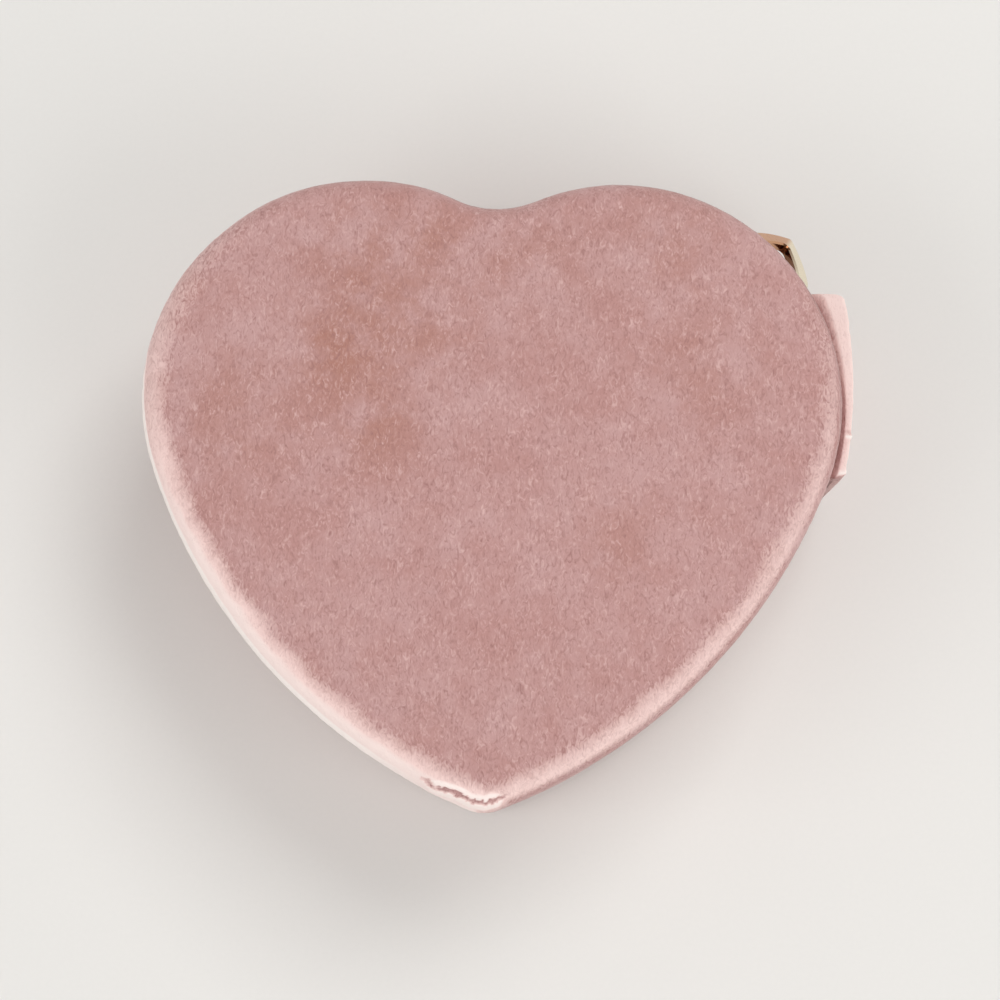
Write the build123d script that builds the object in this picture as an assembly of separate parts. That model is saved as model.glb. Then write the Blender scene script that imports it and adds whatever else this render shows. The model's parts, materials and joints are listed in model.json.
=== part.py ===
"""Heart-shaped velvet jewellery case: two padded trays joined by a fabric spine and a zip.

Sizes are in millimetres and degrees. Z points up from the resting face, +Y points to the lobes of the
heart and +X to the spine. The origin is in the middle of the heart, on the resting face.
"""
import os
from math import atan2, cos, degrees, hypot, radians, sin, sqrt

from build123d import *

# Heart outline
heart_width = 112.0
heart_length = 101.0
lobe_radius = 35.5
notch_radius = 15.5
side_radius = 90.0
tip_radius = 6.5
least_tip = 0.8

# Heights
box_height = 48.0
seam_height = 24.0
zip_band = 10.0
rim_setback = 4.6
top_rounding = 4.0
bottom_rounding = 2.0
top_crown = 1.6
crown_reach = 24.0
crown_bands = 3

# Layers of the walls
cover_wall = 2.2
top_cover = 1.5
bottom_cover = 1.2
tape_thickness = 0.6
tape_grip = 4.0
shell_wall = 1.6
lining_wall = 0.8
foam_thickness = 3.0
glue_gap = 0.1
fit_gap = 0.3

# Spine and hinge
spine_stand = 3.0
spine_bow = 1.5
spine_offset = 4.25
spine_length = 29.5
spine_rise = 11.0
spine_drop = 23.5
spine_corner = 2.2
spine_rounding = 0.9
seam_gap = 0.15

# Zip teeth
tooth_pitch = 2.4
tooth_head = 0.85
tooth_neck = 0.6
tooth_depth = 1.3
tooth_root = 1.6
tooth_reach = 0.5
stop_length = 1.0
stop_gap = 0.3

# Zip slider
slider_angle = 45.3
slider_length = 8.0
slider_front = 3.7
slider_rear = 2.8
slider_plate = 0.8
slider_nose = 0.3
slider_waist = 0.2
lip_width = 0.8
lip_trim = 0.05
lip_setback = 0.5
outer_gap = 1.0
inner_gap = 1.16
outer_slot = 0.72
inner_slot = 0.76
post_length = 2.8
post_width = 2.0
post_setback = 0.3
slider_edge = 0.25
bail_height = 2.2
bail_span = 5.4
bail_wire = 1.3
bail_bend = 1.0
bail_root = 0.4

# Zip pull
pull_width = 13.8
pull_length = 16.9
pull_bar = 2.4
pull_thickness = 1.6
pull_lean = 32.3
pull_twist = 9.1
eye_gap = 0.25
eye_wall = 0.95
eye_width = 1.8
neck_length = 0.5
pull_edge = 0.3

# Mirror
mirror_inset = 15.0
mirror_thickness = 2.0
bezel_thickness = 1.4
bezel_overlap = 2.0

# Compartments
divider_thickness = 1.6
divider_top = 17.5
cross_middle = -9.0
roll_pitch = 11.6
roll_spacing = 0.6
roll_top = 19.0

# Derived heights
tape_out = cover_wall + glue_gap
tape_in = tape_out + tape_thickness
shell_out = tape_in + glue_gap
shell_in = shell_out + shell_wall
lining_out = shell_in + glue_gap
lining_in = lining_out + lining_wall
room_inset = lining_in + fit_gap
zip_inset = (tape_out + tape_in) / 2
band_half = zip_band / 2
tape_reach = band_half + tape_grip
base_cover_top = seam_height - band_half
lid_cover_bottom = seam_height + band_half
base_rim = seam_height - rim_setback
lid_rim = seam_height + rim_setback
base_floor = bottom_cover + glue_gap
lining_floor = base_floor + shell_wall + glue_gap
room_floor = lining_floor + lining_wall
foam_top = box_height - top_cover - glue_gap
shell_top = foam_top - foam_thickness - glue_gap
lining_top = shell_top - shell_wall - glue_gap
lid_ceiling = lining_top - lining_wall
lobe_x = heart_width / 2 - lobe_radius
lobe_y = heart_length / 2 - lobe_radius
spine_face = heart_width / 2 + spine_stand
spine_middle = lobe_y + spine_offset
spine_low = spine_middle - spine_length / 2
spine_high = spine_middle + spine_length / 2
track_radius = lobe_radius - zip_inset
rim_height = box_height - top_crown
roll_start = divider_thickness / 2 + fit_gap
roll_count = int((heart_width / 2 - room_inset - roll_start) / roll_pitch)


def heart_arcs(inset, width, length, lobe, notch, side, tip):
    """Arcs of a heart, counter-clockwise: (centre x, centre y, radius, start, end, sign of outward)."""
    lobe_cx = width / 2 - lobe
    lobe_cy = length / 2 - lobe
    notch_cy = lobe_cy + sqrt((lobe + notch) ** 2 - lobe_cx ** 2)
    tip_cy = tip - length / 2
    # The side arc touches the lobe and the tip from outside both, with its centre across the axis
    to_tip = hypot(lobe_cx, lobe_cy - tip_cy)
    from_lobe = side - lobe
    from_tip = side - tip
    along = (from_lobe ** 2 - from_tip ** 2 + to_tip ** 2) / (2 * to_tip)
    across = sqrt(from_lobe ** 2 - along ** 2)
    step_x = -lobe_cx / to_tip
    step_y = (tip_cy - lobe_cy) / to_tip
    side_cx = lobe_cx + along * step_x + across * step_y
    side_cy = lobe_cy + along * step_y - across * step_x
    # A tip too tight for the inset keeps a small radius and moves up the axis
    inner_tip = max(tip - inset, least_tip)
    inner_side = side - inset
    inner_tip_cy = side_cy - sqrt((inner_side - inner_tip) ** 2 - side_cx ** 2)
    notch_turn = degrees(atan2(notch_cy - lobe_cy, -lobe_cx))
    lobe_turn = degrees(atan2(lobe_cy - side_cy, lobe_cx - side_cx))
    tip_turn = degrees(atan2(inner_tip_cy - side_cy, -side_cx))
    return [
        (lobe_cx, lobe_cy, lobe - inset, lobe_turn, notch_turn, 1),
        (0.0, notch_cy, notch + inset, notch_turn - 180, -notch_turn, -1),
        (-lobe_cx, lobe_cy, lobe - inset, 180 - notch_turn, 180 - lobe_turn, 1),
        (-side_cx, side_cy, inner_side, 180 - lobe_turn, 180 - tip_turn, 1),
        (0.0, inner_tip_cy, inner_tip, 180 - tip_turn, 360 + tip_turn, 1),
        (side_cx, side_cy, inner_side, tip_turn, lobe_turn, 1),
    ]


def box_arcs(inset):
    """Arcs of the case outline moved in by an inset."""
    return heart_arcs(
        inset, heart_width, heart_length, lobe_radius, notch_radius, side_radius, tip_radius
    )


def on_arc(arc, angle):
    """Point of an arc at an angle."""
    return (arc[0] + arc[2] * cos(radians(angle)), arc[1] + arc[2] * sin(radians(angle)))


def arcs_face(arcs):
    """Face inside a closed row of arcs."""
    edges = []
    for arc in arcs:
        middle = (arc[3] + arc[4]) / 2
        edges.append(ThreePointArc(on_arc(arc, arc[3]), on_arc(arc, middle), on_arc(arc, arc[4])))
    return make_face(edges)


def heart_prism(inset, low, high):
    """Upright heart from one height to another."""
    return Pos(0, 0, low) * extrude(arcs_face(box_arcs(inset)), amount=high - low)


def heart_ring(outer, inner, low, high):
    """Upright heart-shaped wall between two insets."""
    return heart_prism(outer, low, high) - heart_prism(inner, low - 1, high + 1)


def slab(x_low, x_high, y_low, y_high, z_low, z_high):
    """Box between two corners."""
    size = (x_high - x_low, y_high - y_low, z_high - z_low)
    middle = ((x_low + x_high) / 2, (y_low + y_high) / 2, (z_low + z_high) / 2)
    return Pos(*middle) * Box(*size)


def track_place(distance):
    """Frame on the zip's centre line: X along the zip, Y up, Z outward."""
    left = distance
    for arc in box_arcs(zip_inset):
        turn = radians(arc[4] - arc[3])
        reach = arc[2] * abs(turn)
        if left <= reach:
            angle = arc[3] + (arc[4] - arc[3]) * left / reach
            point = on_arc(arc, angle)
            out_x = arc[5] * cos(radians(angle))
            out_y = arc[5] * sin(radians(angle))
            return Plane(
                origin=(point[0], point[1], seam_height),
                x_dir=(-out_y, out_x, 0),
                z_dir=(out_x, out_y, 0),
            )
        left -= reach
    return track_place(left)


def track_length():
    """Length of the zip's closed centre line."""
    return sum(arc[2] * abs(radians(arc[4] - arc[3])) for arc in box_arcs(zip_inset))


def lobe_distance(angle):
    """Distance along the zip's centre line to an angle on the right lobe."""
    return track_radius * radians(angle - box_arcs(zip_inset)[0][3])


def polygon_prism(points, low, high):
    """Prism over a polygon, standing on the local XY plane."""
    return Pos(0, 0, low) * extrude(make_face(Polyline(*points, close=True)), amount=high - low)


# Covers of velvet on thin foam, with a rebate for the tape along the open edge
def make_base_cover():
    body = heart_prism(0, 0, base_cover_top)
    body = fillet(body.faces().sort_by(Axis.Z)[0].edges(), bottom_rounding)
    body -= heart_prism(tape_in, bottom_cover, base_cover_top + 1)
    return body - heart_prism(cover_wall, base_cover_top - tape_grip - glue_gap, base_cover_top + 1)


def crown_cap(depth):
    """Low dome of the padded top, some depth under the velvet, from the rounded edge to the middle."""
    sections = []
    for band in range(crown_bands + 1):
        share = band / crown_bands
        height = rim_height - depth + top_crown * (1 - (1 - share) ** 2)
        outline = arcs_face(box_arcs(top_rounding + crown_reach * share))
        sections.append(Pos(0, 0, height) * outline)
    return loft(sections, ruled=True)


def make_lid_cover():
    body = heart_prism(0, lid_cover_bottom, rim_height)
    body = fillet(body.faces().sort_by(Axis.Z)[-1].edges(), top_rounding)
    body += crown_cap(0)
    body -= heart_prism(tape_in, lid_cover_bottom - 1, rim_height - top_cover)
    body -= crown_cap(top_cover)
    return body - heart_prism(
        cover_wall, lid_cover_bottom - 1, lid_cover_bottom + tape_grip + glue_gap
    )


# Board trays and their linings
def make_base_shell():
    body = heart_prism(shell_out, base_floor, base_rim)
    return body - heart_prism(shell_in, base_floor + shell_wall, base_rim + 1)


def make_base_lining():
    body = heart_prism(lining_out, lining_floor, base_rim)
    return body - heart_prism(lining_in, room_floor, base_rim + 1)


def make_lid_shell():
    body = heart_prism(shell_out, lid_rim, shell_top)
    return body - heart_prism(shell_in, lid_rim - 1, shell_top - shell_wall)


def make_lid_lining():
    body = heart_prism(lining_out, lid_rim, lining_top)
    return body - heart_prism(lining_in, lid_rim - 1, lid_ceiling)


def make_lid_foam():
    depth = top_cover + glue_gap
    body = heart_prism(shell_out, foam_top - foam_thickness, rim_height - depth)
    return body + crown_cap(depth)


# Mirror behind a bezel that laps over its edge
def make_mirror():
    return heart_prism(mirror_inset, lid_ceiling - glue_gap - mirror_thickness, lid_ceiling - glue_gap)


def make_mirror_bezel():
    top = lid_ceiling - glue_gap
    bottom = top - mirror_thickness - glue_gap - bezel_thickness
    body = heart_prism(room_inset, bottom, top)
    body -= heart_prism(mirror_inset - fit_gap, top - mirror_thickness - glue_gap, top + 1)
    return body - heart_prism(mirror_inset + bezel_overlap, bottom - 1, top + 1)


# Spine: a padded block on each side of the seam, bowed outward
def make_spine(side):
    rise = spine_rise if side > 0 else spine_drop
    end_x = spine_face - spine_bow
    root_x = lobe_x
    face = make_face(
        [
            ThreePointArc((end_x, spine_low), (spine_face, spine_middle), (end_x, spine_high)),
            Line((end_x, spine_high), (root_x, spine_high)),
            Line((root_x, spine_high), (root_x, spine_low)),
            Line((root_x, spine_low), (end_x, spine_low)),
        ]
    )
    height = rise - seam_gap
    block = extrude(face, amount=height)
    block = fillet(block.edges().filter_by(Axis.Z).group_by(Axis.X)[-1], spine_corner)
    rim = block.faces().sort_by(Axis.Z)[-1].edges().sort_by(Axis.X)[1:]
    block = fillet(rim, spine_rounding)
    block = Pos(0, 0, seam_height + seam_gap) * block
    edge = lid_cover_bottom - glue_gap
    block -= heart_prism(cover_wall, seam_height, edge + 1)
    block -= heart_prism(-glue_gap, edge, seam_height + rise + 1)
    if side < 0:
        block = mirror(block, about=Plane.XY.offset(seam_height))
    return block


def spine_zone(margin):
    """Stretch of the outline behind the spine."""
    return slab(
        lobe_x, heart_width, spine_low - margin, spine_high + margin, -1, box_height + 1
    )


def band_heights(side, start):
    """Heights of a fabric band on one side of the seam."""
    if side > 0:
        return seam_height + start, seam_height + tape_reach
    return seam_height - tape_reach, seam_height - start


def make_tape(side):
    low, high = band_heights(side, tooth_root)
    return heart_ring(tape_out, tape_in, low, high) - spine_zone(fit_gap)


def make_gusset(side):
    low, high = band_heights(side, seam_gap)
    return heart_ring(tape_out, tape_in, low, high) & spine_zone(-fit_gap)


# Teeth: two rows that interlock along the seam, each tooth rooted on the edge of its tape
def make_tooth(side):
    points = [
        (-tooth_neck / 2, tooth_root),
        (tooth_neck / 2, tooth_root),
        (tooth_head / 2, 0),
        (tooth_head * 0.3, -tooth_reach),
        (-tooth_head * 0.3, -tooth_reach),
        (-tooth_head / 2, 0),
    ]
    placed = [(x, y * side) for x, y in points]
    return polygon_prism(placed, -tooth_depth / 2, tooth_depth / 2)


def make_stop(side):
    points = [
        (-stop_length / 2, side * tooth_root),
        (stop_length / 2, side * tooth_root),
        (stop_length / 2, side * seam_gap),
        (-stop_length / 2, side * seam_gap),
    ]
    return polygon_prism(points, -tooth_depth / 2, tooth_depth / 2)


# The run of the zip starts under the slider and ends below the spine
total_track = track_length()
slider_place = lobe_distance(slider_angle)
spine_end = total_track
probe = total_track
while track_place(probe).origin.Y > spine_low - stop_length - 1 and probe > total_track / 2:
    probe -= tooth_pitch / 4
    spine_end = probe
first_tooth = slider_place + tooth_head
last_tooth = spine_end - stop_length - tooth_pitch
half_pitches = int((last_tooth - first_tooth) / (tooth_pitch / 2))
start_stop = slider_place - slider_length / 2 - stop_length / 2 - stop_gap
end_stop = last_tooth + tooth_pitch / 2 + stop_length / 2


def make_teeth(side):
    tooth = make_tooth(side)
    row = []
    first = 0 if side > 0 else 1
    for step in range(first, half_pitches, 2):
        row.append(track_place(first_tooth + step * tooth_pitch / 2).location * tooth)
    return Compound(children=row)


def make_stops(side):
    stop = make_stop(side)
    ends = [track_place(place).location * stop for place in (start_stop, end_stop)]
    return Compound(children=ends)


# Slider: outer and inner plate round the chain, a wedge post at the wide end, lips and a bail
def slider_outline(trim, reach):
    half = slider_length / 2 + reach
    points = [
        (-half, slider_front - trim - slider_nose),
        (-half * 0.75, slider_front - trim),
        (-half * 0.1, slider_front - trim - slider_waist),
        (half * 0.45, slider_rear - trim),
        (half, slider_rear - trim),
    ]
    return points + [(x, -y) for x, y in reversed(points)]


def make_slider():
    plate = polygon_prism(slider_outline(0, 0), outer_gap, outer_gap + slider_plate)
    plate = chamfer(plate.faces().sort_by(Axis.Z)[-1].edges(), slider_edge)
    under = polygon_prism(slider_outline(0, 0), -inner_gap - slider_plate, -inner_gap)
    core = polygon_prism(slider_outline(lip_width, lip_width), -slider_front, slider_front)
    lips = polygon_prism(slider_outline(lip_trim, -lip_setback), outer_slot, outer_gap) - core
    lips += polygon_prism(slider_outline(lip_trim, -lip_setback), -inner_gap, -inner_slot) - core
    front = -slider_length / 2 + post_setback
    post = polygon_prism(
        [
            (front, 0),
            (front + post_length * 0.4, post_width / 2),
            (front + post_length, 0),
            (front + post_length * 0.4, -post_width / 2),
        ],
        -inner_gap,
        outer_gap,
    )
    top = outer_gap + slider_plate
    path = FilletPolyline(
        (-bail_span / 2, 0, top - bail_root),
        (-bail_span / 2, 0, top + bail_height),
        (bail_span / 2, 0, top + bail_height),
        (bail_span / 2, 0, top - bail_root),
        radius=bail_bend,
    )
    section = Plane(origin=path @ 0, z_dir=path % 0) * Circle(bail_wire / 2)
    bail = sweep(section, path=path)
    body = plate + under + lips + post + bail
    return track_place(slider_place).location * body


# Pull: open heart loop on an eye that turns on the bail
def pull_arcs(inset):
    return heart_arcs(
        inset,
        pull_width,
        pull_length,
        pull_width * 0.277,
        pull_width * 0.15,
        pull_width * 3.0,
        pull_width * 0.058,
    )


def make_pull():
    eye_hole = bail_wire / 2 + eye_gap
    eye_radius = eye_hole + eye_wall
    notch = pull_arcs(0)[1]
    notch_y = notch[1] - notch[2]
    drop = eye_radius + neck_length + notch_y
    frame = extrude(arcs_face(pull_arcs(0)), amount=pull_thickness)
    frame -= extrude(arcs_face(pull_arcs(pull_bar)), amount=pull_thickness)
    frame = chamfer(frame.faces().sort_by(Axis.Z)[-1].edges(), pull_edge)
    frame = Pos(0, -drop, -pull_thickness / 2) * frame
    neck_reach = neck_length + pull_bar / 2
    neck = Pos(0, -eye_radius - neck_reach / 2 + eye_wall / 2, 0) * Box(
        eye_width, neck_reach + eye_wall, pull_thickness
    )
    turned = Rotation(0, 90, 0)
    eye = turned * Cylinder(eye_radius, eye_width)
    hole = turned * Cylinder(eye_hole, eye_width * 2)
    body = frame + neck + eye - hole
    height = outer_gap + slider_plate + bail_height
    hang = Rotation(-pull_lean, 0, 0) * Rotation(0, 0, pull_twist)
    return track_place(slider_place).location * Pos(0, 0, height) * hang * body


# Compartments: two crossing boards and a bank of ring rolls
def make_cross_divider():
    half = divider_thickness / 2
    board = slab(
        -heart_width, heart_width, cross_middle - half, cross_middle + half, room_floor, divider_top
    )
    return board & heart_prism(room_inset, 0, box_height)


def make_long_divider():
    half = divider_thickness / 2
    start = cross_middle + half + glue_gap
    board = slab(-half, half, start, heart_length, room_floor, divider_top)
    return board & heart_prism(room_inset, 0, box_height)


def make_ring_roll(index):
    width = roll_pitch - roll_spacing
    middle = roll_start + width / 2 + index * roll_pitch
    start = cross_middle + divider_thickness / 2 + fit_gap
    radius = width / 2
    shoulder = roll_top - radius
    face = make_face(
        [
            Line((-radius, room_floor), (radius, room_floor)),
            Line((radius, room_floor), (radius, shoulder)),
            ThreePointArc((radius, shoulder), (0, roll_top), (-radius, shoulder)),
            Line((-radius, shoulder), (-radius, room_floor)),
        ]
    )
    section = Plane(origin=(middle, start, 0), x_dir=(-1, 0, 0), z_dir=(0, 1, 0)) * face
    roll = extrude(section, amount=heart_length)
    return roll & heart_prism(room_inset, 0, box_height)


parts = {
    "base_shell": make_base_shell(),
    "base_cover": make_base_cover(),
    "base_lining": make_base_lining(),
    "cross_divider": make_cross_divider(),
    "long_divider": make_long_divider(),
    "lid_shell": make_lid_shell(),
    "lid_foam": make_lid_foam(),
    "lid_cover": make_lid_cover(),
    "lid_lining": make_lid_lining(),
    "mirror": make_mirror(),
    "mirror_bezel": make_mirror_bezel(),
    "zip_slider": make_slider(),
    "zip_pull": make_pull(),
}
for index in range(roll_count):
    parts[f"ring_roll_{index + 1}"] = make_ring_roll(index)
for name, side in (("base", -1), ("lid", 1)):
    parts[f"spine_{name}"] = make_spine(side)
    parts[f"gusset_{name}"] = make_gusset(side)
    parts[f"zip_tape_{name}"] = make_tape(side)
    parts[f"zip_teeth_{name}"] = make_teeth(side)
    parts[f"zip_stops_{name}"] = make_stops(side)

os.makedirs("parts", exist_ok=True)
for name, shape in parts.items():
    export_step(shape, f"parts/{name}.step")
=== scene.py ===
"""Heart-shaped velvet jewellery case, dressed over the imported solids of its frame.

Laid out as an add-on: sizes and colours are properties of the scene, each piece or group of like pieces
has an operator, and main() runs the operators in order. Lengths are metres, heights are above the floor.
"""
import json
import math

import bmesh
import bpy
from mathutils import Matrix, Vector, noise


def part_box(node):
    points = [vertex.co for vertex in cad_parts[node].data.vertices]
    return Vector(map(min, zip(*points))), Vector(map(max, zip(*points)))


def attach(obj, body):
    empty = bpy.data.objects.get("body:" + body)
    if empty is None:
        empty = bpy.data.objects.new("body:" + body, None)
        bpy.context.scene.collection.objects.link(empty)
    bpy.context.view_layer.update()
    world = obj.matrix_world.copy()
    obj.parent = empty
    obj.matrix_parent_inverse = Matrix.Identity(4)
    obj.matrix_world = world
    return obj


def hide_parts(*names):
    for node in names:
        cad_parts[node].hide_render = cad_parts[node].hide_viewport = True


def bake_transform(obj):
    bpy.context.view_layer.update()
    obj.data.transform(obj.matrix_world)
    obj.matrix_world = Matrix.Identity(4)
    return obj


bl_info = {
    "name": "Heart Jewellery Case",
    "version": (1, 0, 0),
    "blender": (4, 5, 0),
    "location": "View3D > Sidebar > Heart Case",
    "description": "Builds the velvet, zip and lining of a heart-shaped jewellery case",
    "category": "Object",
}

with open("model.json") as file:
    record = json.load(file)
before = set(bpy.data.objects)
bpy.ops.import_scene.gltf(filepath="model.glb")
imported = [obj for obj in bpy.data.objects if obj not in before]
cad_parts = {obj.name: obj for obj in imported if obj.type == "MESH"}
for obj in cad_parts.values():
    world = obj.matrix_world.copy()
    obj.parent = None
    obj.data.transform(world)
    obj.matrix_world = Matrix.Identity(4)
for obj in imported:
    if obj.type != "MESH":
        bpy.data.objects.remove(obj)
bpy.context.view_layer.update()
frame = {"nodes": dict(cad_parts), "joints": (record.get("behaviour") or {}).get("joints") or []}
base_low, base_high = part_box("base_cover")
lid_low, lid_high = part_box("lid_cover")
spine_low, spine_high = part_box("spine_lid")
spine_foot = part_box("spine_base")[0].z
tape_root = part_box("zip_tape_base")[0].z
pull_swing = next(joint for joint in frame["joints"] if joint["name"] == "pull_swing")

MM = 0.001
SEAM = (base_high.z + lid_low.z) / 2
# Point inside the heart that the rings of its top and bottom are drawn towards
MIDDLE = Vector((0.0, 5.0 * MM))
# Hidden layers stay this far off the ones beside them
CLEAR = 0.05 * MM


def linear(code):
    """Linear red, green and blue of an sRGB hex code."""
    channels = [int(code[place:place + 2], 16) / 255 for place in (1, 3, 5)]
    return [c / 12.92 if c <= 0.04045 else ((c + 0.055) / 1.055) ** 2.4 for c in channels]


def metres(name, description, value):
    """Length property with its default in metres."""
    return bpy.props.FloatProperty(
        name=name, description=description, default=value, unit="LENGTH", subtype="DISTANCE"
    )


def millimetres(name, description, value):
    """Length property with its default in millimetres."""
    return metres(name, description, value * MM)


def number(name, description, value, unit="NONE"):
    """Property that is a plain number or a power."""
    return bpy.props.FloatProperty(name=name, description=description, default=value, unit=unit)


def degrees(name, description, value):
    """Angle property with its default in degrees."""
    return bpy.props.FloatProperty(
        name=name, description=description, default=math.radians(value), unit="ROTATION", subtype="ANGLE"
    )


def colour(name, description, code):
    """Colour property with its default as an sRGB hex code."""
    return bpy.props.FloatVectorProperty(
        name=name, description=description, default=linear(code), subtype="COLOR", min=0.0, max=1.0
    )


class HeartCaseSizes(bpy.types.PropertyGroup):
    """Sizes of the case and of its fabric"""

    heart_width: metres("Heart width", "Width across both lobes", base_high.x - base_low.x)
    heart_length: metres("Heart length", "Length from the lobes to the tip", base_high.y - base_low.y)
    lobe_radius: millimetres("Lobe radius", "Radius of each lobe of the heart", 35.5)
    notch_radius: millimetres("Notch radius", "Radius of the notch between the lobes", 15.5)
    side_radius: millimetres("Side radius", "Radius of each side down to the tip", 90.0)
    tip_radius: millimetres("Tip radius", "Radius of the tip", 6.5)
    least_tip: millimetres("Least tip", "Tip radius kept on the inner outlines", 0.8)
    lid_top: metres("Lid top", "Height of the middle of the lid", lid_high.z)
    lid_hem: metres("Lid hem", "Height of the lower edge of the lid's velvet", lid_low.z)
    base_hem: metres("Base hem", "Height of the upper edge of the base's velvet", base_high.z)
    top_rounding: millimetres("Top rounding", "Radius of the lid's rounded edge", 4.0)
    bottom_rounding: millimetres("Bottom rounding", "Radius of the base's rounded edge", 2.0)
    top_crown: millimetres("Top crown", "Rise of the padded top over its rounded edge", 1.6)
    velvet_wave: millimetres("Velvet wave", "Depth of the uneven padding under the velvet", 0.22)
    pile_depth: millimetres("Pile depth", "Unevenness of the pile along the edges", 0.07)
    strip_thickness: millimetres("Strip thickness", "Thickness of the velvet strip over the hinge", 0.6)
    strip_half: millimetres("Strip half width", "Reach of the strip above and below the seam", 7.9)
    strip_bow: millimetres("Strip bow", "How far the spine bows out between its ends", 1.5)
    pleat_depth: millimetres("Pleat depth", "Spare fabric folded inside the hinge", 4.0)
    pull_lean: degrees("Pull lean", "How far the pull leans out from the case", 32.3)
    pull_twist: degrees("Pull twist", "Turn of the pull in its own plane", 9.1)


class HeartCaseColours(bpy.types.PropertyGroup):
    """Colours of the case and of its surroundings"""

    velvet: colour("Velvet", "Velvet seen straight on", "#b88c87")
    velvet_warm: colour("Brushed velvet", "Patches where the pile lies flat", "#ab796b")
    velvet_pale: colour("Raised velvet", "Patches where the pile stands up", "#c19a97")
    fibre_light: colour("Fibre light", "Fibres that catch the light", "#d2aca8")
    fibre_dark: colour("Fibre shade", "Gaps between the fibres", "#9c716d")
    # Painted sheen: the pale rim colour and the near-white edge highlight below stand in for light caught
    # by the pile along the edges
    rim: colour("Open pile", "Pile spread open over the edges", "#f0d2cc")
    edge_highlight: colour("Fibre tips", "Tips of the pile along the outermost edge", "#fff8f2")
    # Painted shade: blended into creases, soft dark lines and shaded faces of the velvet
    crease: colour("Crease", "Depth of a fold in the velvet", "#8f625b")
    sheen: colour("Sheen", "Tint of the light that grazes the pile", "#fff3f1")
    lining: colour("Lining", "Velvet of the inside", "#d3aaa4")
    tape: colour("Zip tape", "Woven tape of the zip", "#c58f89")
    gold: colour("Gold", "Plated metal of the zip", "#f0d7b0")
    # Painted shade: brown inside the pull's loop
    painted_loop_shade: colour("Worn gold", "Brown metal inside the loop of the pull", "#7a5238")
    pale_gold: colour("Pale gold", "Plating of the pull", "#fff4da")
    # Painted reflection: a redder, darker gold on one half of the pull for the dimmer light it reflects
    painted_dim_reflection: colour("Rosy gold", "Redder plating on one half of the pull", "#d3a07c")
    board: colour("Board", "Moulded board under the velvet", "#b9a892")
    foam: colour("Foam", "Soft layer under the lid's velvet", "#efe7d8")
    mirror: colour("Mirror", "Silvered glass", "#e9eeee")
    floor: colour("Floor", "Pale floor", "#e7e5e1")


class HeartCaseStage(bpy.types.PropertyGroup):
    """Camera and light"""

    target: bpy.props.FloatVectorProperty(
        name="Target",
        description="Point that the camera looks at",
        default=(1.45 * MM, 1.29 * MM, 24.0 * MM),
        unit="LENGTH",
        subtype="TRANSLATION",
    )
    distance: millimetres("Distance", "Distance from the target to the camera", 380.0)
    azimuth: degrees("Azimuth", "Turn of the camera to the right of the tip", 5.0)
    elevation: degrees("Elevation", "Height of the camera above the horizon", 82.32)
    roll: degrees("Roll", "Turn of the picture about its middle", 3.86)
    lens: number("Lens", "Focal length in millimetres on a 36 mm sensor", 81.76)
    sky: number("Sky", "Strength of the even light from overhead", 0.34)
    horizon: number("Horizon", "Strength of the even light from the sides", 0.74)
    left_lamp: number("Left lamp", "Power of the soft light at the left", 3.2, "POWER")
    right_lamp: number("Right lamp", "Power of the soft light at the right", 3.2, "POWER")
    far_lamp: number("Far lamp", "Power of the soft light beyond the lobes", 4.7, "POWER")


def case_sizes():
    """Sizes set in the panel."""
    return bpy.context.scene.heart_case_sizes


def case_colours():
    """Colours set in the panel."""
    return bpy.context.scene.heart_case_colours


# Outline of the heart


def heart_arcs(inset):
    """Arcs of the outline moved in by an inset, counter-clockwise: centre, radius, start and end angle."""
    sizes = case_sizes()
    lobe_x = sizes.heart_width / 2 - sizes.lobe_radius
    lobe_y = sizes.heart_length / 2 - sizes.lobe_radius
    notch_y = lobe_y + math.sqrt((sizes.lobe_radius + sizes.notch_radius) ** 2 - lobe_x ** 2)
    tip_y = sizes.tip_radius - sizes.heart_length / 2
    to_tip = math.hypot(lobe_x, lobe_y - tip_y)
    from_lobe = sizes.side_radius - sizes.lobe_radius
    from_tip = sizes.side_radius - sizes.tip_radius
    along = (from_lobe ** 2 - from_tip ** 2 + to_tip ** 2) / (2 * to_tip)
    across = math.sqrt(from_lobe ** 2 - along ** 2)
    step_x, step_y = -lobe_x / to_tip, (tip_y - lobe_y) / to_tip
    side_x = lobe_x + along * step_x + across * step_y
    side_y = lobe_y + along * step_y - across * step_x
    tip = max(sizes.tip_radius - inset, sizes.least_tip)
    side = sizes.side_radius - inset
    lobe = sizes.lobe_radius - inset
    inner_tip_y = side_y - math.sqrt((side - tip) ** 2 - side_x ** 2)
    to_notch = math.atan2(notch_y - lobe_y, -lobe_x)
    to_side = math.atan2(lobe_y - side_y, lobe_x - side_x)
    to_point = math.atan2(inner_tip_y - side_y, -side_x)
    return [
        (lobe_x, lobe_y, lobe, to_side, to_notch),
        (0.0, notch_y, sizes.notch_radius + inset, to_notch - math.pi, -to_notch),
        (-lobe_x, lobe_y, lobe, math.pi - to_notch, math.pi - to_side),
        (-side_x, side_y, side, math.pi - to_side, math.pi - to_point),
        (0.0, inner_tip_y, tip, math.pi - to_point, 2 * math.pi + to_point),
        (side_x, side_y, side, to_point, to_side),
    ]


ARC_STEPS = (96, 16, 96, 112, 56, 112)
LEFT_SIDE, RIGHT_SIDE = 3, 5
TIP_CROWDING = 1.35


def stations():
    """Arc and share along it of each point round the outline, closer together towards the tip."""
    found = []
    for arc, steps in enumerate(ARC_STEPS):
        for step in range(steps):
            share = step / steps
            if arc == LEFT_SIDE:
                share = 1 - (1 - share) ** TIP_CROWDING
            elif arc == RIGHT_SIDE:
                share = share ** TIP_CROWDING
            found.append((arc, share))
    return found


STATIONS = stations()


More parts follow.
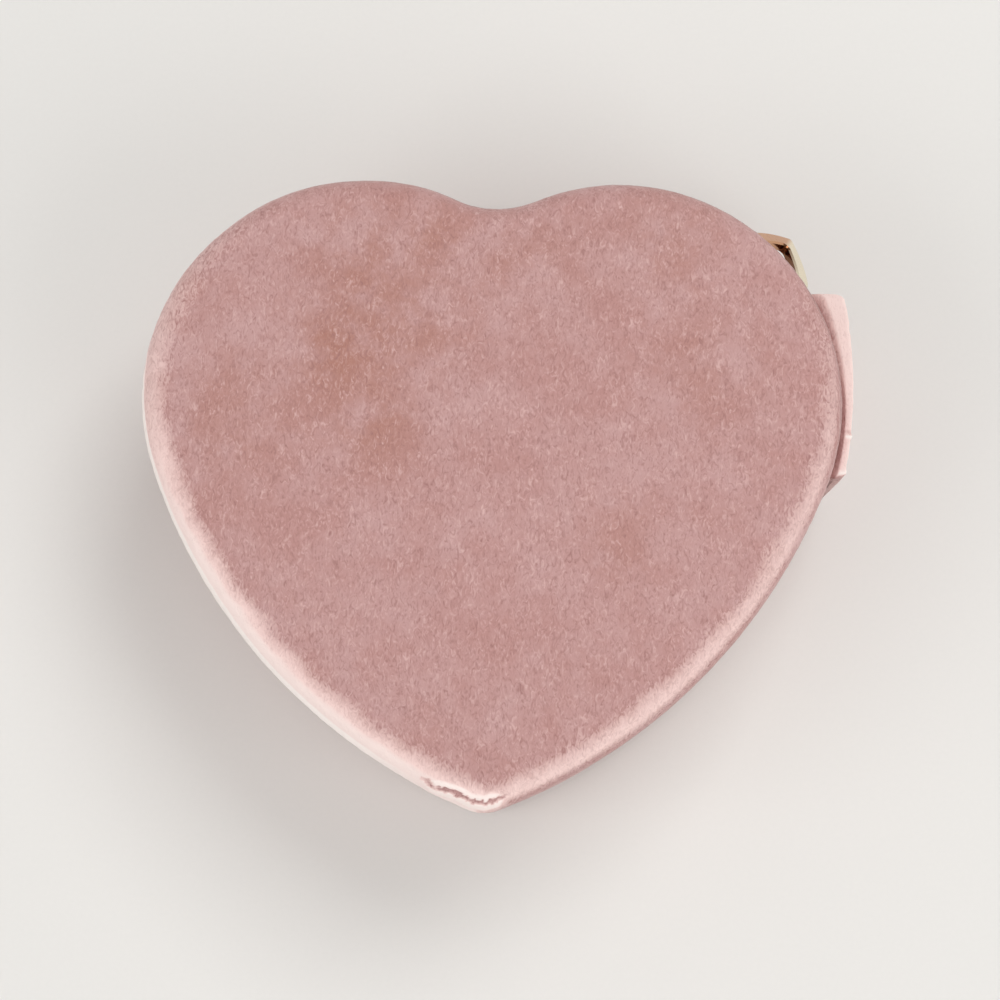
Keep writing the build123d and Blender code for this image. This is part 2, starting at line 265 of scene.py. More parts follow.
def ring(inset, height):
    """Points round the heart at an inset and a height."""
    arcs = heart_arcs(inset)
    points = []
    for arc, share in STATIONS:
        centre_x, centre_y, radius, start, end = arcs[arc]
        angle = start + (end - start) * share
        points.append(
            Vector((centre_x + radius * math.cos(angle), centre_y + radius * math.sin(angle), height))
        )
    return points


def rings_through(section, start, side=1):
    """Rings at the insets and heights of a section in millimetres, up or down from a starting height."""
    return [ring(inset * MM, start + side * height * MM) for inset, height in section]


def drawn_in(points, share, height):
    """A ring drawn towards the middle of the heart."""
    return [
        Vector((MIDDLE.x + (p.x - MIDDLE.x) * share, MIDDLE.y + (p.y - MIDDLE.y) * share, height))
        for p in points
    ]


def lobe_edge(y, inset):
    """How far right the outline reaches beside the right lobe."""
    centre_x, centre_y, radius = heart_arcs(inset)[0][:3]
    return centre_x + math.sqrt(max(radius ** 2 - (y - centre_y) ** 2, 0.0))


# Modelling


# Pile value of plain velvet, with no painted light: lower values paint shade, down to 0 deep in a crease,
# and higher values paint sheen, up to 1 along the brightest edges
FLAT_PILE = 0.5


def start_piece(name):
    """Names the primitive that was just added."""
    piece = bpy.context.object
    piece.name = name
    piece.data.name = name
    return piece


def put_selected(piece, points):
    """Puts the selected points of a piece in edit mode where they belong."""
    shape = bmesh.from_edit_mesh(piece.data)
    chosen = [vertex for vertex in shape.verts if vertex.select]
    for vertex, point in zip(chosen, points, strict=True):
        vertex.co = point
    bmesh.update_edit_mesh(piece.data)


def loft(name, rings):
    """Closed skin through a row of rings, each extruded from the one before it."""
    bpy.ops.object.select_all(action="DESELECT")
    bpy.ops.mesh.primitive_circle_add(vertices=len(rings[0]), radius=MM)
    piece = start_piece(name)
    bpy.ops.object.mode_set(mode="EDIT")
    put_selected(piece, rings[0])
    for points in rings[1:]:
        bpy.ops.mesh.extrude_edges_move()
        put_selected(piece, points)
    bpy.ops.object.mode_set(mode="OBJECT")
    mark_cloth(piece, rings)
    bpy.ops.object.mode_set(mode="EDIT")
    bpy.ops.mesh.select_all(action="SELECT")
    bpy.ops.mesh.remove_doubles(threshold=0.001 * MM)
    bpy.ops.mesh.normals_make_consistent(inside=False)
    bpy.ops.object.mode_set(mode="OBJECT")
    bpy.ops.object.shade_smooth_by_angle(angle=math.radians(50))
    return piece


def mark_cloth(piece, rings):
    """Keeps the distances along and across the fabric at each point, for its weave."""
    longest = max(rings, key=lambda points: sum((a - b).length for a, b in zip(points, points[1:])))
    along = [0.0]
    for before, after in zip(longest, longest[1:]):
        along.append(along[-1] + (after - before).length)
    across = [0.0]
    for before, after in zip(rings, rings[1:]):
        across.append(across[-1] + (after[0] - before[0]).length)
    values = []
    for row in across:
        for column in along:
            values.extend((column, row, 0.0))
    layer = piece.data.attributes.new("cloth", "FLOAT_VECTOR", "POINT")
    layer.data.foreach_set("vector", values)


def mark(piece, name, value):
    """Keeps a value from 0 to 1 at each point, worked out from its place and normal."""
    layer = piece.data.attributes.new(name, "FLOAT", "POINT")
    layer.data.foreach_set("value", [value(vertex.co, vertex.normal) for vertex in piece.data.vertices])


def knead(piece, push):
    """Moves each point along its normal by what push gives for its place and normal."""
    moves = [vertex.normal * push(vertex.co, vertex.normal) for vertex in piece.data.vertices]
    for vertex, move in zip(piece.data.vertices, moves):
        vertex.co += move
    piece.data.update()


def ripple(place, size, seed):
    """Smooth uneven value between about -1 and 1, with humps of a given size."""
    return noise.noise(place / size + Vector((seed, 3.7 * seed, 1.3 * seed)))


def quarter(steps):
    """Sine and cosine of even steps through a quarter turn."""
    angles = [math.pi / 2 * step / steps for step in range(steps + 1)]
    return [(math.sin(angle), math.cos(angle)) for angle in angles]


def clamp(value):
    """Value kept between 0 and 1."""
    return min(max(value, 0.0), 1.0)


def smooth(value):
    """Eased share between 0 and 1."""
    value = clamp(value)
    return value * value * (3 - 2 * value)


def rounded(corners, steps):
    """Outline through corners given as x, y and radius, with each corner an arc of even steps."""
    points = []
    count = len(corners)
    for index, (x, y, radius) in enumerate(corners):
        here = Vector((x, y))
        before = (Vector(corners[index - 1][:2]) - here).normalized()
        after = (Vector(corners[(index + 1) % count][:2]) - here).normalized()
        reach = radius / math.tan(before.angle(after) / 2)
        start, end = here + before * reach, here + after * reach
        for step in range(steps + 1):
            share = step / steps
            first, second = start.lerp(here, share), here.lerp(end, share)
            points.append(first.lerp(second, share))
    return points


def dress(piece, material, body):
    """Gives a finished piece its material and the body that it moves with."""
    piece.data.materials.clear()
    piece.data.materials.append(material)
    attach(piece, body)


def paint(node, material):
    """Gives a solid of the frame a better material."""
    solid = frame["nodes"][node]
    solid.data.materials.clear()
    solid.data.materials.append(material)


# Materials


def add(tree, kind, inputs=None, **settings):
    """Adds a node with its settings, and sets or links its inputs."""
    node = tree.nodes.new(kind)
    for key, value in settings.items():
        setattr(node, key, value)
    for key, value in (inputs or {}).items():
        if isinstance(value, bpy.types.NodeSocket):
            tree.links.new(value, node.inputs[key])
        else:
            node.inputs[key].default_value = value
    return node


def new_material(name):
    """Empty node material."""
    material = bpy.data.materials.new(name)
    material.use_nodes = True
    material.node_tree.nodes.clear()
    return material, material.node_tree


def opaque(value):
    """Colour with its alpha, or the socket that gives a colour."""
    return value if isinstance(value, bpy.types.NodeSocket) else (value[0], value[1], value[2], 1.0)


def toned(values, share):
    """Colour made darker or lighter by a share."""
    return [min(c * share, 1.0) for c in values]


def per(size):
    """Scale of a pattern whose features have a size in millimetres."""
    return 1 / (size * MM)


def object_place(tree):
    """Place of a point on the piece itself."""
    return add(tree, "ShaderNodeTexCoord").outputs["Object"]


def flecks(tree, place, size, detail, roughness=0.5, distortion=0.0):
    """Noise with features of a size in millimetres."""
    pattern = {"Scale": per(size), "Detail": detail, "Roughness": roughness, "Distortion": distortion}
    return add(tree, "ShaderNodeTexNoise", {"Vector": place, **pattern}).outputs["Fac"]


def span(tree, value, low, high, to_low=0.0, to_high=1.0):
    """A value carried from one range to another and kept inside it."""
    ends = {"From Min": low, "From Max": high, "To Min": to_low, "To Max": to_high}
    return add(tree, "ShaderNodeMapRange", {"Value": value, **ends}).outputs[0]


def times(tree, first, second):
    """Product of two values."""
    return add(tree, "ShaderNodeMath", {0: first, 1: second}, operation="MULTIPLY").outputs[0]


def mix(tree, share, first, second):
    """Blend from one colour to another by a share."""
    inputs = {0: share, 6: opaque(first), 7: opaque(second)}
    return add(tree, "ShaderNodeMix", inputs, data_type="RGBA").outputs[2]


def measured(tree, vector, axis):
    """How far a vector reaches along an axis."""
    product = add(tree, "ShaderNodeVectorMath", {0: vector, 1: axis}, operation="DOT_PRODUCT")
    return product.outputs["Value"]


def relief(tree, height, strength, distance):
    """Normal of a surface with a small relief."""
    inputs = {"Height": height, "Strength": strength, "Distance": distance}
    return add(tree, "ShaderNodeBump", inputs).outputs["Normal"]


def surface(tree, inputs):
    """Ends a material with one shader."""
    shader = add(tree, "ShaderNodeBsdfPrincipled", inputs)
    add(tree, "ShaderNodeOutputMaterial", {"Surface": shader.outputs[0]})


def velvet_material(name, body, warm, pale, light, dark):
    """Cut-pile polyester velvet: short fibres that stand up, so it is dark seen straight on, and patchy
    where it has been brushed one way or the other. Sheen is painted pale where the pile opens over an edge,
    and shade is painted dark in creases, both from each piece's pile value."""
    shades = case_colours()
    material, tree = new_material(name)
    place = object_place(tree)
    patches = flecks(tree, place, 9, 4.0, roughness=0.62)
    tone = add(tree, "ShaderNodeValToRGB", {"Fac": patches})
    first, second = tone.color_ramp.elements
    first.position, first.color = 0.38, opaque(body)
    second.position, second.color = 0.68, opaque(pale)
    brushed = add(tree, "ShaderNodeAttribute", attribute_name="brushed").outputs["Fac"]
    broken = span(tree, patches, 0.62, 0.4, 0.15, 1.0)
    patched = mix(tree, times(tree, brushed, broken), tone.outputs["Color"], warm)
    # Fibres are drawn 0.6 mm wide and 1.2 mm long, coarser than real ones, and lie along the case
    lean = add(tree, "ShaderNodeMapping", {"Vector": place, "Scale": (1.0, 0.5, 1.0)}).outputs["Vector"]
    fibres = flecks(tree, lean, 0.62, 2.0, distortion=1.6)
    tufts = flecks(tree, place, 2.6, 2.0, roughness=0.6)
    bright_share = times(tree, span(tree, fibres, 0.5, 0.74), span(tree, tufts, 0.35, 0.7, 0.2, 0.9))
    lit = mix(tree, bright_share, patched, light)
    shade_share = times(tree, span(tree, fibres, 0.47, 0.24), 0.75)
    shaded = mix(tree, shade_share, lit, dark)
    # The piece's pile value carries painted light: above the flat value it paints sheen along edges, below
    # it painted shade in creases and dark lines
    pile = add(tree, "ShaderNodeAttribute", attribute_name="pile").outputs["Fac"]
    ragged = span(tree, fibres, 0.3, 0.7, -0.06, 0.06)
    uneven = add(tree, "ShaderNodeMath", {0: pile, 1: ragged}, operation="ADD").outputs[0]
    # Painted sheen: higher pile values blend in the pale rim colour, and the near-white edge highlight at
    # the top of their range
    edge = mix(tree, span(tree, pile, 0.84, 1.0), shades.rim, shades.edge_highlight)
    skin = mix(tree, span(tree, uneven, 0.53, 0.86), shaded, edge)
    surface(
        tree,
        {
            # Painted shade: low pile values blend in the dark crease colour
            "Base Color": mix(tree, span(tree, uneven, 0.4, 0.12), skin, shades.crease),
            "Roughness": 0.95,
            "Specular IOR Level": 0.1,
            "Sheen Weight": 0.5,
            "Sheen Roughness": 0.4,
            "Sheen Tint": opaque(shades.sheen),
            "Normal": relief(tree, fibres, 0.45, 0.3 * MM),
        },
    )
    return material


def woven_material(name, body, thread):
    """Woven polyester tape: a fine twill whose ribs run slantwise, matt with a slight gloss on each
    thread."""
    material, tree = new_material(name)
    cloth = add(tree, "ShaderNodeAttribute", attribute_name="cloth").outputs["Vector"]
    twill = add(tree, "ShaderNodeMapping", {"Vector": cloth, "Rotation": (0.0, 0.0, math.radians(45))})
    # Ribs are drawn 0.5 mm apart, coarser than the real ones, so that they show
    pattern = {"Vector": twill.outputs["Vector"], "Scale": per(0.5) / 20, "Distortion": 0.4, "Detail": 1.0}
    ribs = add(tree, "ShaderNodeTexWave", pattern, bands_direction="X").outputs["Fac"]
    surface(
        tree,
        {
            "Base Color": mix(tree, ribs, toned(body, 0.72), body),
            "Roughness": 0.75,
            "Sheen Weight": 0.15,
            "Normal": relief(tree, ribs, 0.6, thread),
        },
    )
    return material


def gold_material(name, body, tones=None):
    """Gold-plated zinc casting, tumbled smooth: mirror-like with fine rubbed scratches. A function can add
    tones of its own."""
    material, tree = new_material(name)
    spot = add(tree, "ShaderNodeTexCoord").outputs
    scratches = flecks(tree, spot["Object"], 0.8, 4.0)
    skin = mix(tree, scratches, toned(body, 0.88), body)
    if tones is not None:
        skin = tones(tree, spot, skin)
    finish = span(tree, scratches, 0.3, 0.7, 0.12, 0.26)
    surface(tree, {"Base Color": skin, "Metallic": 1.0, "Roughness": finish})
    return material


def loop_painted_light(tree, spot, skin):
    """Painted light of the pull, which hangs from its eye and leans out from the case: one half of its loop
    is painted a redder, darker gold as a painted reflection of dimmer surroundings, and the faces turned to
    the eye low in the loop are painted brown as painted shade inside the loop."""
    shades, sizes = case_colours(), case_sizes()
    axis, eye = Vector(pull_swing["axis"]), Vector(pull_swing["pos_m"])
    slope = math.sin(sizes.pull_lean)
    along = Vector((axis.y * slope, -axis.x * slope, math.cos(sizes.pull_lean)))
    across = axis * math.cos(sizes.pull_twist) - along * math.sin(sizes.pull_twist)
    hung = add(tree, "ShaderNodeVectorMath", {0: spot["Object"], 1: eye}, operation="SUBTRACT")
    place = hung.outputs["Vector"]
    half = span(tree, measured(tree, place, across), 0.5 * MM, -0.5 * MM)
    lower = span(tree, measured(tree, place, along), -5.5 * MM, -7.5 * MM)
    inner = span(tree, measured(tree, spot["Normal"], along), 0.3, 0.5)
    reflection_halves = mix(tree, half, skin, shades.painted_dim_reflection)
    return mix(tree, times(tree, inner, lower), reflection_halves, shades.painted_loop_shade)


def grained_material(name, body, grain, depth, roughness):
    """Plain stuff with a grain of its own, such as pressed board or open foam: matt and a little uneven."""
    material, tree = new_material(name)
    grains = flecks(tree, object_place(tree), grain, 5.0)
    surface(
        tree,
        {
            "Base Color": mix(tree, grains, toned(body, 1 - depth), body),
            "Roughness": roughness,
            "Normal": relief(tree, grains, depth, 0.1 * MM),
        },
    )
    return material


def mirror_material(name, body):
    """Silvered float glass: a clear reflection with a faint cool tint."""
    material, tree = new_material(name)
    haze = flecks(tree, object_place(tree), 20, 3.0)
    finish = span(tree, haze, 0.3, 0.7, 0.02, 0.05)
    surface(tree, {"Base Color": opaque(body), "Metallic": 1.0, "Roughness": finish})
    return material


def outer_velvet():
    """Velvet of the outside, made once."""
    name, shades = "dusty_pink_velvet", case_colours()
    return bpy.data.materials.get(name) or velvet_material(
        name, shades.velvet, shades.velvet_warm, shades.velvet_pale, shades.fibre_light, shades.fibre_dark
    )


def inner_velvet():
    """Paler velvet of the inside, made once."""
    name, shades = "pale_pink_velvet", case_colours()
    tones = [toned(shades.lining, share) for share in (0.96, 0.88, 1.06)]
    return bpy.data.materials.get(name) or velvet_material(name, *tones, shades.rim, shades.velvet)


def zip_gold():
    """Gold of the zip, made once."""
    name = "gold_plated_zinc"
    return bpy.data.materials.get(name) or gold_material(name, case_colours().gold)


# Velvet outside


def crown_rings(edge, rim_height, rise, steps):
    """Rings from a ring at the edge of the padding up to the middle of its crown."""
    rings = []
    for step in range(1, steps + 1):
        share = 1 - step / steps
        rings.append(drawn_in(edge, share, rim_height + rise * (1 - share ** 2)))
    return rings


# Section of the velvet turned in at a hem, from the inside out: inset and distance from the hem in
# millimetres, up to where the plain wall starts
HEM_SECTION = (
    (2.9, 4.4), (2.25, 4.0), (2.2, 0.8), (2.0, 0.25), (1.5, 0.0), (0.9, 0.0), (0.4, 0.2), (0.1, 0.65),
)
HEM_HEIGHT = 1.3 * MM
# The crown's curve starts at the rounded edge and would level out this far in from it
CROWN_REACH = 24.0 * MM
CROWN_INSETS = (4.6, 5.3, 6.1, 7.0, 8.0, 9.0, 10.0)
# Thickness of the padded cover at the top of the lid
TOP_THICKNESS = 1.6 * MM


def lid_rings(sizes):
    """Rings of the lid's velvet: from its middle inside, down to the hem, up the wall and over the top."""
    rim = sizes.lid_top - sizes.top_crown
    shoulder = rim - sizes.top_rounding
    inside = ring(3.0 * MM, rim - TOP_THICKNESS)
    rings = list(reversed(crown_rings(inside, rim - TOP_THICKNESS, sizes.top_crown, 6)))
    rings.append(inside)
    hem = sizes.lid_hem
    rings.append(ring(2.9 * MM, hem + 14.0 * MM))
    rings.extend(rings_through(HEM_SECTION, hem))
    wall_steps = 12
    for step in range(wall_steps + 1):
        share = step / wall_steps
        height = hem + HEM_HEIGHT + (shoulder - hem - HEM_HEIGHT) * share
        rings.append(ring(0.0, height))
    for sine, cosine in quarter(24)[1:]:
        inset = sizes.top_rounding * (1 - cosine)
        rings.append(ring(inset, shoulder + sizes.top_rounding * sine))
    for inset in CROWN_INSETS:
        share = (inset * MM - sizes.top_rounding) / CROWN_REACH
        rings.append(ring(inset * MM, rim + sizes.top_crown * (1 - (1 - share) ** 2)))
    edge = rings[-1]
    height = edge[0].z
    rings.extend(crown_rings(edge, height, sizes.lid_top - height, 34))
    return rings


# Fold of velvet gathered at the tip, as points of its crease in millimetres
TIP_CREASE = (
    (-9.7, -45.1), (-7.7, -46.4), (-5.5, -47.0), (-3.4, -47.7),
    (-1.9, -48.6), (0.2, -48.9), (2.0, -48.4), (3.9, -47.6),
)
CREASE_DEPTH = 0.3 * MM
CREASE_WIDTH = 0.28 * MM
LIP_WIDTH = 2.3 * MM
LIP_RISE = 0.35 * MM
# The crease and its lips lie nearer the tip than this place along Y
TIP_START = -40 * MM


def crease_gap(place):
    """Distance of a point from the crease at the tip, and how far along the crease it is from an end."""
    point = Vector((place.x, place.y))
    nearest, along = 1.0, 0.0
    for index, (start, end) in enumerate(zip(TIP_CREASE, TIP_CREASE[1:])):
        first, second = Vector(start) * MM, Vector(end) * MM
        run = second - first
        share = clamp((point - first).dot(run) / run.length_squared)
        gap = (point - first - run * share).length
        if gap < nearest:
            nearest = gap
            along = min(index + share, len(TIP_CREASE) - 1 - index - share)
    return nearest, along


def crease_share(place):
    """How deep a point lies in the crease at the tip, from 0 to 1."""
    gap, along = crease_gap(place)
    ragged = 0.4 * MM * ripple(place, 0.55 * MM, 4.0)
    width = CREASE_WIDTH * (0.5 + 0.5 * smooth(along / 1.2))
    return smooth(1.35 - abs(gap + ragged) / width) * smooth(0.15 + along)


def lip_share(place):
    """How far a point lies on the swollen lips beside the crease, from 0 to 1."""
    gap, along = crease_gap(place)
    return smooth(1 - gap / LIP_WIDTH) * smooth(0.3 + along / 2)


# Patches of the lid where the pile has been rubbed flat: middle and spread in millimetres, and strength
RUBBED_PATCHES = (
    (-25.0, 22.0, 7.0, 0.85), (-18.0, 9.5, 7.5, 0.6), (-10.0, 41.0, 6.0, 0.45), (-13.0, 26.0, 8.5, 0.6),
    (4.0, 38.0, 8.0, 0.4), (33.0, 20.0, 9.0, 0.3), (20.0, -8.0, 7.0, 0.25), (-40.0, 12.0, 12.0, 0.35),
    (-21.0, 38.0, 9.0, 0.6), (28.0, 40.0, 9.0, 0.35),
)


def rubbed(place, normal):
    """How far the pile has been rubbed flat at a point of the lid."""
    total = 0.0
    for x, y, spread, strength in RUBBED_PATCHES:
        gap = math.hypot(place.x - x * MM, place.y - y * MM) / (spread * MM)
        total += strength * math.exp(-gap * gap)
    return min(total, 1.0)


def outward(place):
    """Level direction from the middle of the nearer lobe, or square to the side, at a point of the lid."""
    lobe_x, lobe_y = heart_arcs(0.0)[0][:2]
    side_x, side_y = heart_arcs(0.0)[5][:2]
    turn = 1 if place.x > 0 else -1
    if place.y > lobe_y - 0.35 * abs(place.x - turn * lobe_x):
        return Vector((place.x - turn * lobe_x, place.y - lobe_y, 0.0))
    return Vector((place.x - turn * side_x, place.y - side_y, 0.0))


def facing_painted_light(normal):
    """How far an edge faces towards the tip and the left, where the painted sheen is brightest, from 0 to
    1.
    """
    level = math.hypot(normal.x, normal.y)
    if level < 1e-6:
        return 0.0
    sideways = 0.2 * normal.x if normal.x < 0 else 0.08 * normal.x
    return clamp(0.5 - (0.62 * normal.y + sideways) / level)


def lid_inset(height):
    """How far in from the outline the lid's surface lies at a height."""
    sizes = case_sizes()
    rim = sizes.lid_top - sizes.top_crown
    shoulder = rim - sizes.top_rounding
    if height < shoulder:
        return 0.0
    if height < rim:
        return sizes.top_rounding * (1 - math.sqrt(1 - ((height - shoulder) / sizes.top_rounding) ** 2))
    level = math.sqrt(max(1 - (height - rim) / sizes.top_crown, 0.0))
    return sizes.top_rounding + CROWN_REACH * (1 - level)


# The lid's painted sheen along the rim: how far in it reaches, over what length it fades, and where it ends
# down the wall
RIM_REACH = 6.0 * MM
RIM_FADE = 4.4 * MM
RIM_DROP = 7 * MM
# The pile's clumps and the padding's humps, as a size across
CLUMP = 1.1 * MM
LID_HUMP = 13 * MM
BASE_HUMP = 11 * MM


def make_lid_velvet():
    """Velvet over the lid, uneven over its padding, with a crease gathered at the tip."""
    sizes = case_sizes()
    piece = loft("lid_velvet", lid_rings(sizes))
    shoulder = sizes.lid_top - sizes.top_crown - sizes.top_rounding
    spine_middle = (spine_low.y + spine_high.y) / 2
    spine_half = (spine_high.y - spine_low.y) / 2 + 1.0 * MM

    def push(place, normal):
        if place.z < sizes.lid_hem + 0.1 * MM or normal.z < -0.4:
            return 0.0
        wave = sizes.velvet_wave * ripple(place, LID_HUMP, 1.0) * smooth(normal.z + 0.3)
        pile = sizes.pile_depth * ripple(place, CLUMP, 2.0)
        if place.z < shoulder or place.y > TIP_START:
            return wave + pile
        return wave + pile + LIP_RISE * lip_share(place) - CREASE_DEPTH * crease_share(place)

    # Painted light of the lid: sheen painted pale along its edges, brightest towards the tip and the left,
    # and shade painted into dark lines and the tip's crease
    def painted_light_value(place, normal):
        level = outward(place) if normal.z > 0.9 else Vector((normal.x, normal.y, 0.0))
        facing = facing_painted_light(level)
        rightward = level.x / max(level.length, 1e-6)
        turned_right = smooth(0.5 + 2.0 * rightward)
        uneven = 0.6 * MM * ripple(place, 3.5 * MM, 7.0)
        inset = lid_inset(place.z)
        reach = RIM_REACH - 0.6 * MM * turned_right
        edge = smooth((reach + uneven - inset) / RIM_FADE)
        # Down the wall the painted sheen fades out, sooner on the right
        down_left = smooth(1 - (shoulder - place.z) / RIM_DROP)
        down_right = smooth((inset - 0.2 * MM) / (1.3 * MM))
        upper = down_left + (down_right - down_left) * turned_right
        brightest = 0.34 + 0.06 * smooth((facing - 0.75) / 0.2) * (1 - turned_right)
        value = FLAT_PILE + brightest * edge * facing * upper
        # Painted highlight: a near-white line along the outermost edge of the left side, where the tips of
        # the fibres catch the light
        outer = smooth((0.35 * MM + 0.7 * MM * facing - inset) / (0.4 * MM)) * smooth((facing - 0.4) / 0.3)
        down_tips = smooth(1 - (shoulder - place.z) / (2.4 * MM))
        value = max(value, FLAT_PILE + 0.47 * outer * down_tips * smooth(0.2 - 1.25 * rightward))
        # Painted shade: soft dark lines where the pile turns away over the lobes and beside the spine
        limb = smooth((0.72 - normal.z) / 0.5) * smooth((normal.z + 0.05) / 0.3)
        value -= 0.3 * limb * smooth((0.4 - facing) / 0.4) * (0.9 + 0.4 * ripple(place, 9 * MM, 3.0))
        if place.x > 40 * MM:
            value -= 0.24 * limb * smooth((spine_half + 5 * MM - abs(place.y - spine_middle)) / (10 * MM))
        # Painted highlight on the swollen lips beside the tip's crease, and painted shade in the crease
        # itself
        if place.z > shoulder and place.y < TIP_START:
            value = max(value, FLAT_PILE + 0.43 * min(1.6 * lip_share(place), 1.0))
            value -= (0.46 + 0.14 * ripple(place, 2.2 * MM, 5.0)) * crease_share(place)
        return clamp(value)

    mark(piece, "pile", painted_light_value)
    mark(piece, "brushed", rubbed)
    knead(piece, push)
    dress(piece, outer_velvet(), "lid")
    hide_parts("lid_cover")


def make_base_velvet():
    """Velvet over the bottom and the side of the base, turned in at its hem."""
    sizes = case_sizes()
    floor = base_low.z
    outside = ring(sizes.bottom_rounding, floor)
    rings = [drawn_in(outside, share / 8, floor) for share in range(9)]
    for sine, cosine in quarter(8)[1:]:
        inset, rise = sizes.bottom_rounding * (1 - sine), sizes.bottom_rounding * (1 - cosine)
        rings.append(ring(inset, floor + rise))
    start = floor + sizes.bottom_rounding
    wall_steps = 14
    for step in range(1, wall_steps + 1):
        rings.append(ring(0.0, start + (sizes.base_hem - HEM_HEIGHT - start) * step / wall_steps))
    hem = sizes.base_hem
    rings.extend(rings_through(reversed(HEM_SECTION), hem, -1))
    rings.extend(rings_through(((2.9, 17.6), (3.0, 17.8)), hem, -1))
    inside = rings[-1]
    rings.extend(drawn_in(inside, 1 - step / 4, inside[0].z) for step in range(1, 5))
    piece = loft("base_velvet", rings)

    def push(place, normal):
        on_wall = smooth((place.z - floor - 1.5 * MM) / (2 * MM)) * smooth((hem - place.z) / (1 * MM))
        wave = 0.6 * sizes.velvet_wave * ripple(place, BASE_HUMP, 5.0)
        return on_wall * (wave + sizes.pile_depth * ripple(place, CLUMP, 6.0))

    # Painted sheen: paler on the steep edges that face the tip and the left
    def painted_light_value(place, normal):
        return FLAT_PILE + 0.2 * smooth((0.6 - abs(normal.z)) / 0.5) * facing_painted_light(normal)

    knead(piece, push)
    mark(piece, "pile", painted_light_value)
    dress(piece, outer_velvet(), "base")
    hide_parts("base_cover")


# Spine at the hinge


# The upper block hangs over its end of the spine. Both blocks stay clear of the wall, reach into it
# between the hems, and have a least thickness
SPINE_OVERHANG = 1.1 * MM
SPINE_GAP = 0.12 * MM
SPINE_ROOT = 2.3 * MM
SPINE_LEAST = 0.9 * MM
# Radii of the spine's sharp corners, of those at the seam and of the turn at its ends
SHARP = 0.1 * MM
SEAM_CORNER = 0.12 * MM
SPINE_CORNER = 0.9 * MM
# Half of the opening between the two blocks
SEAM_GAP = 0.15 * MM


def spine_reach(y, high):
    """How far out the spine's face lies, bowed between its ends and turned in at its corners."""
    sizes = case_sizes()
    middle = (spine_low.y + high) / 2
    half = (high - spine_low.y) / 2
    share = (y - middle) / half
    near_end = max(abs(y - middle) - (half - SPINE_CORNER), 0.0) / SPINE_CORNER
    turn_in = SPINE_CORNER * (1 - math.sqrt(max(1 - near_end ** 2, 0.0)))
    return spine_high.x - sizes.strip_bow * share ** 2 - turn_in


def spine_stations(steps, high):
    """Places along the spine, closer together at its ends."""
    places = []
    for step in range(steps + 1):
        share = 2 * step / steps - 1
        eased = math.copysign(1 - (1 - abs(share)) ** 1.7, share)
        places.append((spine_low.y + high) / 2 + eased * (high - spine_low.y) / 2)
    return places


def centre_of(points):
    """Middle of the points of a ring."""
    return sum(points, Vector()) / len(points)


def shrunk(points, depth):
    """A ring with each point moved towards its middle."""
    middle = centre_of(points)
    return [point + (middle - point).normalized() * depth for point in points]


def capped(rings):
    """Rings closed at both ends, where all points are drawn together."""
    first, last = ([centre_of(points)] * len(points) for points in (rings[0], rings[-1]))
    return [first] + rings + [last]


def softened_ends(rings, reach, depth):
    """Rings along Y with their ends rounded over and closed."""
    first, last = rings[0][0].y, rings[-1][0].y
    softened = []
    for points in rings:
        inner = min(points[0].y - first, last - points[0].y)
        softened.append(shrunk(points, depth * max(1 - inner / reach, 0.0) ** 2))
    return capped(softened)


# Folds across the velvet of the spine: place along Y, half width and height in millimetres. The second is
# a narrow bar
SPINE_FOLDS = ((5.3, 0.8, 0.2), (11.4, 0.35, 0.22), (28.9, 0.6, -0.08), (30.4, 0.7, 0.08))
SPINE_BAR = SPINE_FOLDS[1][0] * MM


def spine_fold(y):
    """Rise of the spine's velvet where a fold crosses it."""
    return sum(
        height * MM * math.exp(-(((y - place * MM) / (half * MM)) ** 2))
        for place, half, height in SPINE_FOLDS
    )


def lid_spine_sections():
    """Sections of the padded block above the seam: a ridge at the outside that slopes down to the lid."""
    sizes = case_sizes()
    high = spine_high.y + SPINE_OVERHANG
    top = spine_high.z
    edge = sizes.lid_hem - 0.1 * MM
    rings = []
    for y in spine_stations(64, high):
        out = spine_reach(y, high) + spine_fold(y)
        wall, root = lobe_edge(y, -SPINE_GAP), lobe_edge(y, SPINE_ROOT)
        out = max(out, wall + SPINE_LEAST)
        # Past the end of the block the velvet only overhangs, clear of the zip below it
        lift = smooth((y - spine_high.y + 0.4 * MM) / (0.7 * MM))
        low = SEAM + SEAM_GAP + lift * (edge + 0.3 * MM - SEAM)
        step = max(SEAM + sizes.strip_half + 0.1 * MM, low + 0.6 * MM)
        inner = wall + 0.55 * (out - wall)
        beside = wall + 0.16 * (out - wall)
        shelf = max(edge, low + 0.3 * MM)
        soft = min(0.8 * MM, 0.4 * (out - inner))
        section = rounded(
            (
                (out - sizes.strip_thickness, low, SEAM_CORNER),
                (out - sizes.strip_thickness, step, SHARP),
                (out, step + 0.15 * MM, SHARP),
                (out, top - 0.25 * MM, soft),
                (inner, top, soft),
                (beside, top - 0.9 * MM, 0.3 * soft),
                (wall, top - 2.6 * MM, SHARP),
                (wall, shelf, SHARP),
                (root, shelf, SHARP),
                (root, low, SHARP),
            ),
            5,
        )
        rings.append([Vector((point.x, y, point.y)) for point in section])
    return softened_ends(rings, 1.1 * MM, 0.5 * MM)


